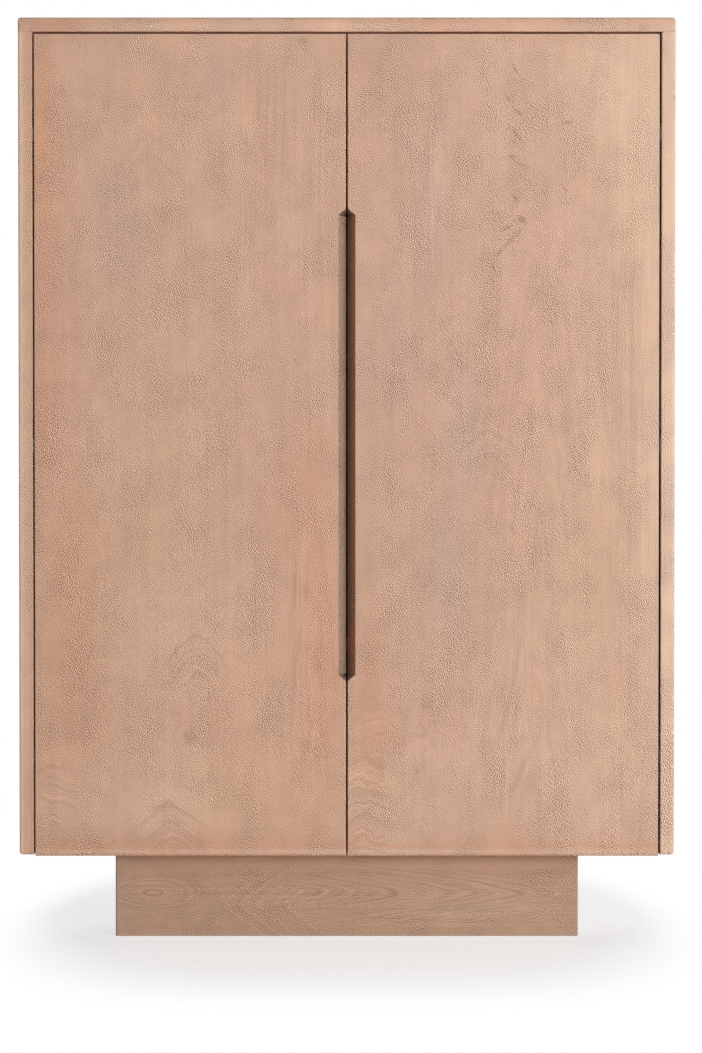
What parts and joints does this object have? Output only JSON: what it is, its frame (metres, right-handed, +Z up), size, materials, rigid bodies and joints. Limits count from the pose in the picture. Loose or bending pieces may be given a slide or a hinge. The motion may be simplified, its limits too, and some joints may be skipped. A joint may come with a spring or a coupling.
{
  "type": "storage cabinet",
  "caption": "Tall wooden storage cabinet with flush doors, a long bevelled finger pull where they meet, shelves inside and a recessed plinth.",
  "frame": {"origin": "middle of the cabinet's outline on the floor", "axes": "+X to the viewer's right facing the doors, +Y from the doors to the back, +Z up"},
  "size_m": [1, 0.45, 1.41],
  "materials": {
    "cabinet_wood": "pale washed and sandblasted mango-like wood, matt",
    "plinth_wood": "the same wood, a little darker, matt",
    "inner_wood": "planed wood, matt",
    "back_board": "thin veneered board, matt",
    "hinge_metal": "satin nickel on zinc alloy",
    "steel": "bright zinc-plated steel",
    "catch_plastic": "pale moulded plastic",
    "bumper_rubber": "soft grey rubber"
  },
  "bodies": {
    "case": {"top_panel": "cabinet_wood", "left_side": "cabinet_wood", "right_side": "cabinet_wood", "plinth_front": "plinth_wood", "plinth_back": "plinth_wood", "plinth_left": "plinth_wood", "plinth_right": "plinth_wood", "bottom_panel": "inner_wood", "top_rail": "inner_wood", "middle_shelf": "inner_wood", "lower_shelf": "inner_wood", "upper_shelf": "inner_wood", "plinth_block_left_front": "inner_wood", "plinth_block_left_back": "inner_wood", "plinth_block_right_front": "inner_wood", "plinth_block_right_back": "inner_wood", "back_panel": "back_board", "lower_pin_left_front": "steel", "lower_pin_left_back": "steel", "lower_pin_right_front": "steel", "lower_pin_right_back": "steel", "upper_pin_left_front": "steel", "upper_pin_left_back": "steel", "upper_pin_right_front": "steel", "upper_pin_right_back": "steel", "left_catch": "catch_plastic", "right_catch": "catch_plastic", "left_bumper": "bumper_rubber", "right_bumper": "bumper_rubber", "left_hinge_1_case_leaf": "hinge_metal", "left_hinge_2_case_leaf": "hinge_metal", "left_hinge_3_case_leaf": "hinge_metal", "right_hinge_1_case_leaf": "hinge_metal", "right_hinge_2_case_leaf": "hinge_metal", "right_hinge_3_case_leaf": "hinge_metal"},
    "left_door": {"left_door": "cabinet_wood", "left_strike": "steel", "left_hinge_1_door_leaf": "hinge_metal", "left_hinge_2_door_leaf": "hinge_metal", "left_hinge_3_door_leaf": "hinge_metal"},
    "right_door": {"right_door": "cabinet_wood", "right_strike": "steel", "right_hinge_1_door_leaf": "hinge_metal", "right_hinge_2_door_leaf": "hinge_metal", "right_hinge_3_door_leaf": "hinge_metal"},
    "left_forks": {"left_hinge_1_fork": "steel", "left_hinge_2_fork": "steel", "left_hinge_3_fork": "steel"},
    "right_forks": {"right_hinge_1_fork": "steel", "right_hinge_2_fork": "steel", "right_hinge_3_fork": "steel"},
    "left_tongues": {"left_hinge_1_tongue": "steel", "left_hinge_2_tongue": "steel", "left_hinge_3_tongue": "steel"},
    "right_tongues": {"right_hinge_1_tongue": "steel", "right_hinge_2_tongue": "steel", "right_hinge_3_tongue": "steel"}
  },
  "joints": [
    {"name": "left_door_swing", "type": "hinge", "parent": "case", "child": "left_door", "pos_m": [-0.4769, -0.2235, 0.76], "axis": [0, 0, -1], "range_deg": [0, 95]},
    {"name": "left_fork_turn", "type": "hinge", "parent": "case", "child": "left_forks", "pos_m": [-0.4798, -0.2182, 0.76], "axis": [0, 0, -1], "range_deg": [0, 70]},
    {"name": "left_tongue_turn", "type": "hinge", "parent": "left_door", "child": "left_tongues", "pos_m": [-0.474, -0.2182, 0.76], "axis": [0, 0, 1], "range_deg": [0, 70]},
    {"name": "right_door_swing", "type": "hinge", "parent": "case", "child": "right_door", "pos_m": [0.4769, -0.2235, 0.76], "axis": [0, 0, 1], "range_deg": [0, 95]},
    {"name": "right_fork_turn", "type": "hinge", "parent": "case", "child": "right_forks", "pos_m": [0.4798, -0.2182, 0.76], "axis": [0, 0, 1], "range_deg": [0, 70]},
    {"name": "right_tongue_turn", "type": "hinge", "parent": "right_door", "child": "right_tongues", "pos_m": [0.474, -0.2182, 0.76], "axis": [0, 0, -1], "range_deg": [0, 70]}
  ],
  "couplings": [
    {"joint": "left_fork_turn", "follows": "left_door_swing", "ratio": 0.73},
    {"joint": "left_tongue_turn", "follows": "left_door_swing", "ratio": 0.73},
    {"joint": "right_fork_turn", "follows": "right_door_swing", "ratio": 0.73},
    {"joint": "right_tongue_turn", "follows": "right_door_swing", "ratio": 0.73}
  ]
}
